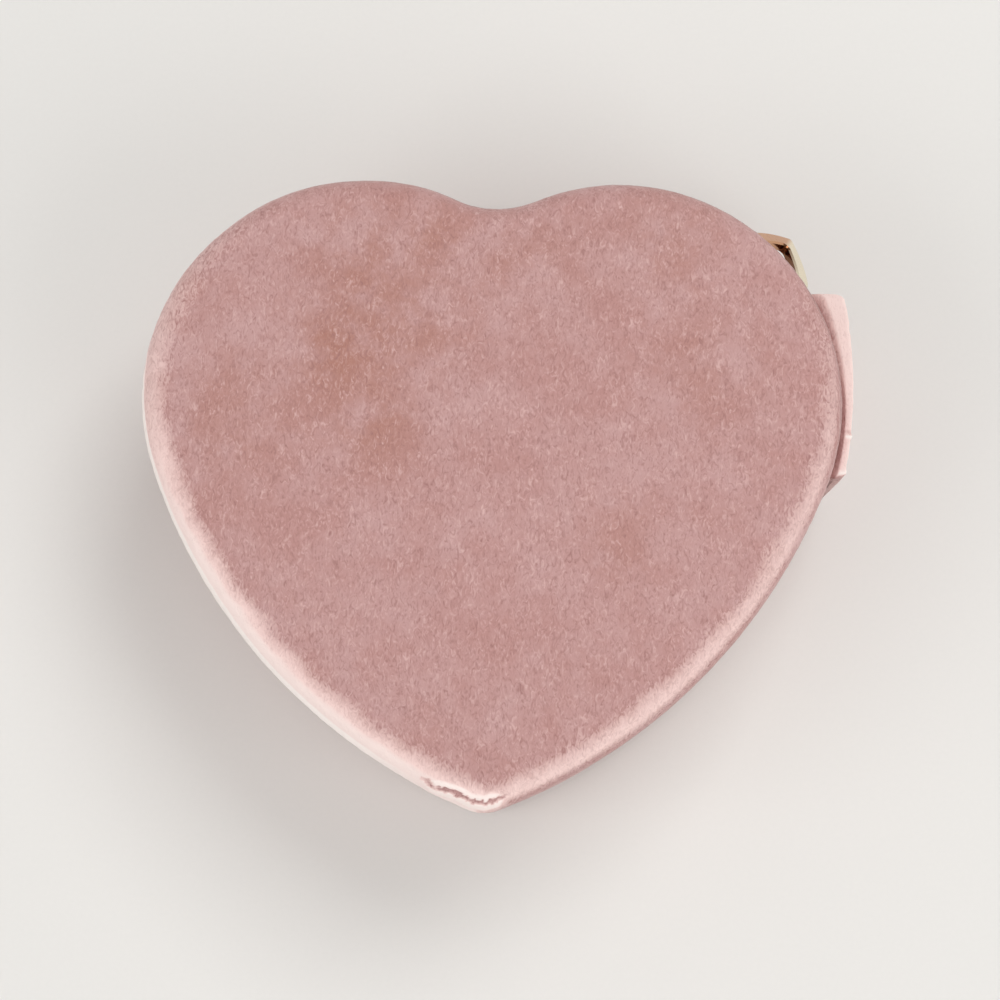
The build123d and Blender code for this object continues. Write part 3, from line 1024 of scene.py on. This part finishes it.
def base_spine_sections():
    """Sections of the padded block below the seam, down to the floor."""
    sizes = case_sizes()
    edge = sizes.base_hem + 0.1 * MM
    top = SEAM - SEAM_GAP
    step = SEAM - sizes.strip_half - 0.1 * MM
    rings = []
    for y in spine_stations(56, spine_high.y):
        wall, root = lobe_edge(y, -SPINE_GAP), lobe_edge(y, SPINE_ROOT)
        out = max(spine_reach(y, spine_high.y) + 0.5 * spine_fold(y), wall + SPINE_LEAST)
        section = rounded(
            (
                (out - sizes.strip_thickness, top, SEAM_CORNER),
                (root, top, SHARP),
                (root, edge, SHARP),
                (wall, edge, SHARP),
                (wall, spine_foot, 0.3 * MM),
                (out, spine_foot, 0.4 * MM),
                (out, step - 0.15 * MM, SHARP),
                (out - sizes.strip_thickness, step, SHARP),
            ),
            5,
        )
        rings.append([Vector((point.x, y, point.y)) for point in section])
    return softened_ends(rings, 1.1 * MM, 0.45 * MM)


def make_spine_pads():
    """Two padded blocks of the spine, one on the lid and one on the base."""
    top = spine_high.z

    def push(place, normal):
        return 0.1 * MM * ripple(place, 1.6 * MM, 9.0) * max(normal.x, normal.z, 0.0)

    # Painted light of the upper block: a pale top, darker lower down its side, a painted contact shadow
    # beside the lid's wall, a painted highlight across its end near the tip and painted shade on the end
    # faces turned to the tip
    def lid_painted_light(place, normal):
        beside = place.x - lobe_edge(place.y, 0.0)
        value = 0.87 - 0.14 * smooth((2.4 * MM - beside) / (1.6 * MM))
        value -= 0.5 * smooth((1.9 * MM - beside) / (0.7 * MM))
        value -= 0.25 * smooth((top - 1.5 * MM - place.z) / (5 * MM))
        value += 0.1 * smooth(1 - abs(place.y - spine_low.y - 0.6 * MM) / (1.1 * MM))
        value -= 0.4 * smooth((-normal.y - 0.45) / 0.3)
        # A bar crosses the ridge, with a thin shadow beside it
        value += 0.12 * smooth(1 - abs(place.y - SPINE_BAR) / (0.5 * MM))
        shadow = smooth(1 - abs(place.y - SPINE_BAR - 0.7 * MM) / (0.35 * MM))
        value -= 0.3 * shadow * smooth((beside - 1.5 * MM) / MM)
        return clamp(value)

    # Painted shade on the end faces of the lower block turned to the tip
    def base_painted_light(place, normal):
        return 0.56 - 0.2 * smooth((-normal.y - 0.45) / 0.3)

    for name, sections in (("lid", lid_spine_sections()), ("base", base_spine_sections())):
        piece = loft(f"spine_pad_{name}", sections)
        knead(piece, push)
        mark(piece, "pile", lid_painted_light if name == "lid" else base_painted_light)
        dress(piece, outer_velvet(), name)
        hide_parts(f"spine_{name}")


def make_hinge_strip():
    """Strip of velvet over both blocks of the spine, which bends when the lid opens."""
    sizes = case_sizes()
    low, high = SEAM - sizes.strip_half, SEAM + sizes.strip_half
    rows = 36
    edge = 0.2 * MM
    rings = []
    for y in spine_stations(56, spine_high.y):
        out = max(spine_reach(y, spine_high.y) + 0.6 * spine_fold(y), lobe_edge(y, -1.0 * MM))
        back = out - sizes.strip_thickness + CLEAR
        heights = [low + edge + (high - low - 2 * edge) * row / rows for row in range(rows + 1)]
        section = [Vector((out, y, height)) for height in heights]
        section.append(Vector((out - edge, y, high)))
        section.extend(Vector((back, y, height)) for height in reversed(heights))
        section.append(Vector((out - edge, y, low)))
        rings.append(section)
    piece = loft("hinge_strip", softened_ends(rings, 0.6 * MM, 0.2 * MM))
    knead(piece, lambda place, normal: 0.05 * MM * ripple(place, 1.2 * MM, 8.0))
    mark(piece, "pile", lambda place, normal: 0.6)
    piece.data.materials.clear()
    piece.data.materials.append(outer_velvet())
    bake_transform(piece)


def make_gusset():
    """Fabric inside the hinge, folded in while the lid is shut."""
    sizes = case_sizes()
    low, high = tape_root + 0.2 * MM, 2 * SEAM - tape_root - 0.2 * MM
    fold = 3.4 * MM
    bpy.ops.object.select_all(action="DESELECT")
    bpy.ops.mesh.primitive_grid_add(x_subdivisions=40, y_subdivisions=44, size=2.0)
    piece = start_piece("hinge_gusset")
    for vertex in piece.data.vertices:
        across, up = vertex.co.x, vertex.co.y
        y = (spine_low.y + spine_high.y) / 2 + across * ((spine_high.y - spine_low.y) / 2 - 0.4 * MM)
        # Rows crowd into the fold, where the fabric is longest
        height = SEAM + math.copysign(abs(up) ** 1.6, up) * (high - low) / 2
        inward = 0.0
        if abs(height - SEAM) < fold:
            inward = sizes.pleat_depth * (1 + math.cos(math.pi * (height - SEAM) / fold)) / 2
        vertex.co = Vector((lobe_edge(y, 2.62 * MM + inward), y, height))
    piece.data.update()
    bpy.ops.object.modifier_add(type="SOLIDIFY")
    piece.modifiers[0].thickness = 0.45 * MM
    piece.modifiers[0].offset = 0.0
    bpy.ops.object.modifier_apply(modifier=piece.modifiers[0].name)
    bpy.ops.object.shade_smooth()
    mark(piece, "pile", lambda place, normal: FLAT_PILE)
    piece.data.materials.append(inner_velvet())
    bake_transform(piece)
    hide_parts("gusset_base", "gusset_lid")


# Zip tapes


# Section of a tape, from its root up the outside, round the cord beside the teeth and down the inside:
# inset and distance from the root in millimetres
TAPE_SECTION = (
    (2.32, 0.3), (2.3, 2.0), (2.3, 4.5), (2.3, 6.2), (2.2, 6.5), (2.1, 6.85), (2.12, 7.1), (2.3, 7.35),
    (2.6, 7.42), (2.9, 7.35), (3.02, 7.1), (3.02, 6.85), (2.95, 6.5), (2.86, 6.2), (2.86, 4.5),
    (2.86, 2.0), (2.84, 0.3),
)


def make_zip_tapes():
    """Woven tapes that carry the teeth, with a cord woven into the edge beside them."""
    shades = case_colours()
    woven = woven_material("twill_tape", shades.tape, 0.1 * MM)
    for name, side in (("base", -1), ("lid", 1)):
        root = tape_root if side < 0 else 2 * SEAM - tape_root
        rings = rings_through(TAPE_SECTION, root, -side)
        rings.append(rings[0])
        piece = loft(f"zip_tape_{name}_woven", rings)
        open_tape(piece)
        dress(piece, woven, name)
        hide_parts(f"zip_tape_{name}")


def open_tape(piece):
    """Cuts the tape away behind the spine and closes the two ends."""
    low, high = spine_low.y - 0.3 * MM, spine_high.y + 0.3 * MM
    for cut_at in (low, high):
        select_right(piece, -1.0, 1.0)
        bpy.ops.mesh.bisect(plane_co=(0.0, cut_at, 0.0), plane_no=(0.0, 1.0, 0.0))
        bpy.ops.object.mode_set(mode="OBJECT")
    select_right(piece, low, high)
    bpy.ops.mesh.delete(type="FACE")
    bpy.ops.mesh.select_all(action="SELECT")
    bpy.ops.mesh.fill_holes(sides=0)
    bpy.ops.mesh.normals_make_consistent(inside=False)
    bpy.ops.object.mode_set(mode="OBJECT")


def select_right(piece, low, high):
    """Selects the faces of the right lobe whose middles lie between two places along Y, in edit mode."""
    bpy.ops.object.mode_set(mode="EDIT")
    bpy.ops.mesh.select_mode(type="FACE")
    shape = bmesh.from_edit_mesh(piece.data)
    for face in shape.faces:
        middle = face.calc_center_median()
        face.select_set(middle.x > 20 * MM and low < middle.y < high)
    bmesh.update_edit_mesh(piece.data)


# Inside


def make_lid_foam():
    """Soft layer under the velvet of the top, crowned like it."""
    sizes = case_sizes()
    low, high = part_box("lid_foam")
    rim = high.z - sizes.top_crown
    under = low.z + CLEAR
    rings = [drawn_in(ring(3.1 * MM, under), share / 6, under) for share in range(7)]
    rings.append(ring(3.05 * MM, low.z + 0.3 * MM))
    rings.append(ring(3.05 * MM, rim - 0.3 * MM))
    rings.append(ring(3.3 * MM, rim - CLEAR))
    rings.extend(crown_rings(rings[-1], rim - CLEAR, sizes.top_crown, 10))
    piece = loft("lid_padding", rings)
    foam = grained_material("open_foam", case_colours().foam, grain=0.4, depth=0.2, roughness=0.9)
    dress(piece, foam, "lid")
    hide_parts("lid_foam")


# Section of the lining at the rim, from the board side over the rim to the room side: inset and height
# above the rim in millimetres
LINING_HEM = (
    (4.74, -0.3), (4.62, 0.04), (3.15, 0.05), (3.05, 0.25), (3.15, 0.45),
    (3.6, 0.55), (4.4, 0.58), (5.0, 0.5), (5.35, 0.25), (5.48, -0.2),
)
# Insets of the lining's back and face on the wall, and velvet turned over the rims at both ends
LINING_BACK = 4.74 * MM
LINING_FACE = 5.5 * MM


def make_linings():
    """Thin velvet inside the base and the lid, turned over the rim of its board."""
    for name, side in (("base", 1), ("lid", -1)):
        low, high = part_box(f"{name}_lining")
        back, rim = (low.z, high.z) if side > 0 else (high.z, low.z)
        far = back + side * CLEAR
        floor = back + side * 0.8 * MM
        rings = [drawn_in(ring(5.4 * MM, far), share / 6, far) for share in range(7)]
        rings.append(ring(4.9 * MM, far + side * 0.2 * MM))
        rings.extend(ring(LINING_BACK, far + (rim - far) * share) for share in (0.08, 0.5))
        rings.extend(rings_through(LINING_HEM, rim, side))
        rings.extend(ring(LINING_FACE, rim + (floor - rim) * share) for share in (0.15, 0.4, 0.65, 0.88))
        rings.append(ring(5.75 * MM, floor + side * 0.35 * MM))
        rings.append(ring(6.3 * MM, floor))
        edge = rings[-1]
        rings.extend(drawn_in(edge, 1 - step / 16, floor) for step in range(1, 17))
        piece = loft(f"{name}_lining_velvet", rings)

        # Painted sheen: paler over the rim of the board
        def painted_light_value(place, normal):
            return FLAT_PILE + 0.25 * smooth((3.5 * MM - abs(place.z - rim)) / (3 * MM))

        knead(piece, lambda place, normal: 0.06 * MM * ripple(place, 3.0 * MM, 12.0))
        mark(piece, "pile", painted_light_value)
        dress(piece, inner_velvet(), name)
        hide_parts(f"{name}_lining")


# Section of the mirror's frame, from its outer edge along the back to the mirror, and back over the
# padded front: inset and height above the lower face of its solid in millimetres
FRAME_SECTION = (
    (5.9, 3.4), (14.6, 3.42), (14.72, 3.3), (14.75, 1.5), (14.9, 1.43), (16.6, 1.42), (16.9, 1.3),
    (17.02, 0.95), (16.9, 0.5), (16.5, 0.1), (15.6, -0.25), (14.2, -0.45), (12.4, -0.52), (10.4, -0.5),
    (8.6, -0.38), (7.2, -0.1), (6.35, 0.35), (5.95, 0.95), (5.88, 2.0), (5.9, 3.4),
)


def make_bezel():
    """Padded velvet frame that holds the mirror in the lid."""
    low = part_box("mirror_bezel")[0]
    piece = loft("mirror_frame_velvet", rings_through(FRAME_SECTION, low.z))
    knead(piece, lambda place, normal: 0.12 * MM * ripple(place, 5.0 * MM, 14.0) * max(-normal.z, 0.0))
    # Painted sheen: paler on the frame's sides and back, plain on its front, which faces down while the lid
    # is shut
    mark(piece, "pile", lambda place, normal: FLAT_PILE + 0.28 * smooth((normal.z + 0.9) / 0.9))
    dress(piece, inner_velvet(), "lid")
    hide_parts("mirror_bezel")


# Inset of the room that the ring rolls fill
ROOM_INSET = 6.1 * MM


def room_end(x):
    """How far towards the lobes the room reaches at a place across the right half."""
    arcs = heart_arcs(ROOM_INSET)
    centre_x, centre_y, radius = arcs[0][:3]
    notch_y, notch_radius = arcs[1][1:3]
    if abs(x) < centre_x * notch_radius / (notch_radius + radius):
        return notch_y - math.sqrt(notch_radius ** 2 - x ** 2)
    return centre_y + math.sqrt(max(radius ** 2 - (x - centre_x) ** 2, 0.0))


ROLL_ARC_STEPS = 27
ROLL_SIDE_SHARES = (0.35, 0.7, 0.97)
ROLL_FOOT_SHARES = (-0.9, -0.4, 0.4, 0.9)
ROLL_STEPS = 40
# Share of a roll's length over which its ends round off, and how far they draw in
ROLL_END = 0.07
ROLL_END_DEPTH = 0.9 * MM


def roll_section(half, foot, bottom, top):
    """Section of a ring roll: a squashed round top on upright sides, and a flat bottom."""
    section = []
    for step in range(ROLL_ARC_STEPS + 1):
        angle = math.pi * step / ROLL_ARC_STEPS
        section.append((half * math.cos(angle), top - half * 0.98 * (1 - math.sin(angle) ** 0.9)))
    first, last = section[0][1], section[-1][1]
    for share in ROLL_SIDE_SHARES:
        section.append((-half * (1 - 0.02 * share), last + (foot - last) * share))
    section.extend((half * share, bottom) for share in ROLL_FOOT_SHARES)
    for share in reversed(ROLL_SIDE_SHARES):
        section.append((half * (1 - 0.02 * share), first + (foot - first) * share))
    return section


def make_ring_rolls():
    """Foam rolls under velvet, set side by side so that rings sit in the grooves between them."""

    # Painted sheen: paler down the sides of each roll
    def painted_light_value(place, normal):
        return FLAT_PILE + 0.3 * smooth((0.8 - normal.z) / 0.7) * smooth(normal.z + 0.4)

    for index in range(1, 5):
        low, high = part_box(f"ring_roll_{index}")
        middle, half = (low.x + high.x) / 2, (high.x - low.x) / 2
        section = roll_section(half, low.z + 0.3 * MM, low.z, high.z)
        rings = []
        for step in range(ROLL_STEPS + 1):
            share = step / ROLL_STEPS
            share = smooth(share) * 0.4 + share * 0.6
            points = []
            for x, z in section:
                end = room_end(middle + x)
                points.append(Vector((middle + x, low.y + share * (end - low.y), z)))
            near_ends = max(1 - share / ROLL_END, 0.0) ** 2 + max(1 - (1 - share) / ROLL_END, 0.0) ** 2
            rings.append(shrunk(points, ROLL_END_DEPTH * near_ends))
        piece = loft(f"ring_roll_{index}_velvet", capped(rings))

        def push(place, normal):
            return 0.18 * MM * ripple(place, 6.0 * MM, 20.0 + index) * max(normal.z, 0.0)

        knead(piece, push)
        mark(piece, "pile", painted_light_value)
        dress(piece, inner_velvet(), "base")
        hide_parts(f"ring_roll_{index}")


FOLD_STEPS = 14
DIVIDER_STEPS = 48
DIVIDER_SHARES = (0.02, 0.3, 0.6)


def make_dividers():
    """Boards covered in velvet, with the fold of the velvet along the top."""
    for node in ("cross_divider", "long_divider"):
        low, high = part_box(node)
        along_x = high.x - low.x > high.y - low.y
        thick = (high.y - low.y if along_x else high.x - low.x) / 2
        middle = (low.y + high.y) / 2 if along_x else (low.x + high.x) / 2
        start, end = (low.x, high.x) if along_x else (low.y, high.y)
        angles = [math.pi * step / FOLD_STEPS for step in range(FOLD_STEPS + 1)]
        section = [(thick * math.cos(angle), high.z - thick + thick * math.sin(angle)) for angle in angles]
        heights = [low.z + (high.z - low.z) * share for share in DIVIDER_SHARES]
        section += [(-thick, height) for height in reversed(heights)]
        section += [(thick, height) for height in heights]
        rings = []
        for step in range(DIVIDER_STEPS + 1):
            place = start + (end - start) * step / DIVIDER_STEPS
            if along_x:
                rings.append([Vector((place, middle + side, z)) for side, z in section])
            else:
                rings.append([Vector((middle + side, place, z)) for side, z in section])
        piece = loft(f"{node}_velvet", capped(rings))

        # Painted sheen: paler along the fold at the top
        def painted_light_value(place, normal):
            return FLAT_PILE + 0.3 * smooth((place.z - high.z + 1.2 * MM) / (1.0 * MM))

        knead(piece, lambda place, normal: 0.05 * MM * ripple(place, 3.0 * MM, 17.0))
        mark(piece, "pile", painted_light_value)
        dress(piece, inner_velvet(), "base")
        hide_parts(node)


# Operators


class HEARTCASE_OT_velvet(bpy.types.Operator):
    """Build the velvet over the lid and the base"""

    bl_idname = "heart_case.velvet"
    bl_label = "Velvet"

    def execute(self, context):
        make_lid_velvet()
        make_base_velvet()
        return {"FINISHED"}


class HEARTCASE_OT_spine(bpy.types.Operator):
    """Build the padded spine, its strip and the gusset inside the hinge"""

    bl_idname = "heart_case.spine"
    bl_label = "Spine"

    def execute(self, context):
        make_spine_pads()
        make_hinge_strip()
        make_gusset()
        return {"FINISHED"}


class HEARTCASE_OT_tapes(bpy.types.Operator):
    """Build the woven tapes of the zip"""

    bl_idname = "heart_case.tapes"
    bl_label = "Zip tapes"

    def execute(self, context):
        make_zip_tapes()
        return {"FINISHED"}


class HEARTCASE_OT_lining(bpy.types.Operator):
    """Build the padding, the linings and the frame of the mirror"""

    bl_idname = "heart_case.lining"
    bl_label = "Lining"

    def execute(self, context):
        make_lid_foam()
        make_linings()
        make_bezel()
        return {"FINISHED"}


class HEARTCASE_OT_tray(bpy.types.Operator):
    """Build the ring rolls and the dividers"""

    bl_idname = "heart_case.tray"
    bl_label = "Ring rolls and dividers"

    def execute(self, context):
        make_ring_rolls()
        make_dividers()
        return {"FINISHED"}


class HEARTCASE_OT_solids(bpy.types.Operator):
    """Finish the rigid solids of the zip, the mirror and the boards"""

    bl_idname = "heart_case.solids"
    bl_label = "Rigid solids"

    def execute(self, context):
        shades = case_colours()
        board = grained_material("pressed_board", shades.board, grain=0.6, depth=0.2, roughness=0.85)
        for node in ("base_shell", "lid_shell"):
            paint(node, board)
        paint("mirror", mirror_material("silvered_glass", shades.mirror))
        for row in ("base", "lid"):
            paint(f"zip_teeth_{row}", zip_gold())
            paint(f"zip_stops_{row}", zip_gold())
        paint("zip_slider", zip_gold())
        paint("zip_pull", gold_material("gold_plated_pull", shades.pale_gold, loop_painted_light))
        return {"FINISHED"}


class HEARTCASE_OT_stage(bpy.types.Operator):
    """Set up the floor, the light and the camera"""

    bl_idname = "heart_case.stage"
    bl_label = "Stage"

    def execute(self, context):
        make_floor()
        make_light()
        make_camera()
        return {"FINISHED"}


FLOOR_SIZE = 2.4
# Soft lamps: the stage property with the power, place and size in metres
LAMPS = (
    ("left_lamp", (-0.75, -0.35, 0.65), 0.7),
    ("right_lamp", (0.70, -0.50, 0.65), 0.7),
    ("far_lamp", (0.35, 0.50, 0.95), 0.5),
)


def make_floor():
    """Pale floor that the case stands on."""
    bpy.ops.object.select_all(action="DESELECT")
    bpy.ops.mesh.primitive_plane_add(size=FLOOR_SIZE)
    floor = start_piece("floor")
    card = grained_material("pale_card", case_colours().floor, grain=0.8, depth=0.03, roughness=0.9)
    floor.data.materials.append(card)


def make_light():
    """Even light from all round and three soft lamps."""
    scene = bpy.context.scene
    stage = scene.heart_case_stage
    world = bpy.data.worlds.new("studio_light")
    world.use_nodes = True
    tree = world.node_tree
    tree.nodes.clear()
    # Brighter at the sides than overhead, so that metal shows light and dark
    direction = add(tree, "ShaderNodeTexCoord").outputs["Generated"]
    height = add(tree, "ShaderNodeSeparateXYZ", {"Vector": direction}).outputs["Z"]
    strength = span(tree, height, 0.0, 1.0, stage.horizon, stage.sky)
    white = (1.0, 1.0, 1.0, 1.0)
    background = add(tree, "ShaderNodeBackground", {"Color": white, "Strength": strength})
    add(tree, "ShaderNodeOutputWorld", {"Surface": background.outputs[0]})
    scene.world = world
    aim = Vector(stage.target)
    for name, place, size in LAMPS:
        bpy.ops.object.light_add(type="AREA", radius=size, location=place)
        lamp = bpy.context.object
        lamp.name = name
        lamp.data.energy = getattr(stage, name)
        lamp.rotation_euler = (Vector(place) - aim).to_track_quat("Z", "Y").to_euler()


def make_camera():
    """Camera at the photo's angle, turned about the line of sight."""
    scene = bpy.context.scene
    stage = scene.heart_case_stage
    flat = math.cos(stage.elevation)
    back = Vector(
        (math.sin(stage.azimuth) * flat, -math.cos(stage.azimuth) * flat, math.sin(stage.elevation))
    )
    right = Vector((math.cos(stage.azimuth), math.sin(stage.azimuth), 0.0))
    up = back.cross(right)
    turned_right = right * math.cos(stage.roll) - up * math.sin(stage.roll)
    turned_up = right * math.sin(stage.roll) + up * math.cos(stage.roll)
    axes = Matrix((turned_right, turned_up, back)).transposed()
    bpy.ops.object.camera_add(location=Vector(stage.target) + back * stage.distance)
    camera = bpy.context.object
    camera.rotation_euler = axes.to_euler()
    camera.data.sensor_width = 36.0
    camera.data.lens = stage.lens
    camera.data.clip_start = 0.01
    scene.camera = camera
    scene.view_settings.view_transform = "Standard"


class HEARTCASE_PT_panel(bpy.types.Panel):
    """Sizes, colours and steps of the case"""

    bl_idname = "HEARTCASE_PT_panel"
    bl_label = "Heart Case"
    bl_space_type = "VIEW_3D"
    bl_region_type = "UI"
    bl_category = "Heart Case"

    def draw(self, context):
        for group in (
            context.scene.heart_case_sizes,
            context.scene.heart_case_colours,
            context.scene.heart_case_stage,
        ):
            box = self.layout.box()
            for name in group.bl_rna.properties.keys():
                if name not in ("rna_type", "name"):
                    box.prop(group, name)
        for step in STEPS:
            self.layout.operator(step.bl_idname)


STEPS = (
    HEARTCASE_OT_velvet,
    HEARTCASE_OT_spine,
    HEARTCASE_OT_tapes,
    HEARTCASE_OT_lining,
    HEARTCASE_OT_tray,
    HEARTCASE_OT_solids,
    HEARTCASE_OT_stage,
)
GROUPS = (HeartCaseSizes, HeartCaseColours, HeartCaseStage)


def register():
    """Registers the add-on and its properties."""
    for kind in GROUPS + STEPS + (HEARTCASE_PT_panel,):
        bpy.utils.register_class(kind)
    bpy.types.Scene.heart_case_sizes = bpy.props.PointerProperty(type=HeartCaseSizes)
    bpy.types.Scene.heart_case_colours = bpy.props.PointerProperty(type=HeartCaseColours)
    bpy.types.Scene.heart_case_stage = bpy.props.PointerProperty(type=HeartCaseStage)


def unregister():
    """Removes the add-on and its properties."""
    del bpy.types.Scene.heart_case_stage
    del bpy.types.Scene.heart_case_colours
    del bpy.types.Scene.heart_case_sizes
    for kind in reversed(GROUPS + STEPS + (HEARTCASE_PT_panel,)):
        bpy.utils.unregister_class(kind)


def main():
    """Builds the case and its stage."""
    register()
    bpy.ops.heart_case.velvet()
    bpy.ops.heart_case.spine()
    bpy.ops.heart_case.tapes()
    bpy.ops.heart_case.lining()
    bpy.ops.heart_case.tray()
    bpy.ops.heart_case.solids()
    bpy.ops.heart_case.stage()


if __name__ == "__main__":
    main()
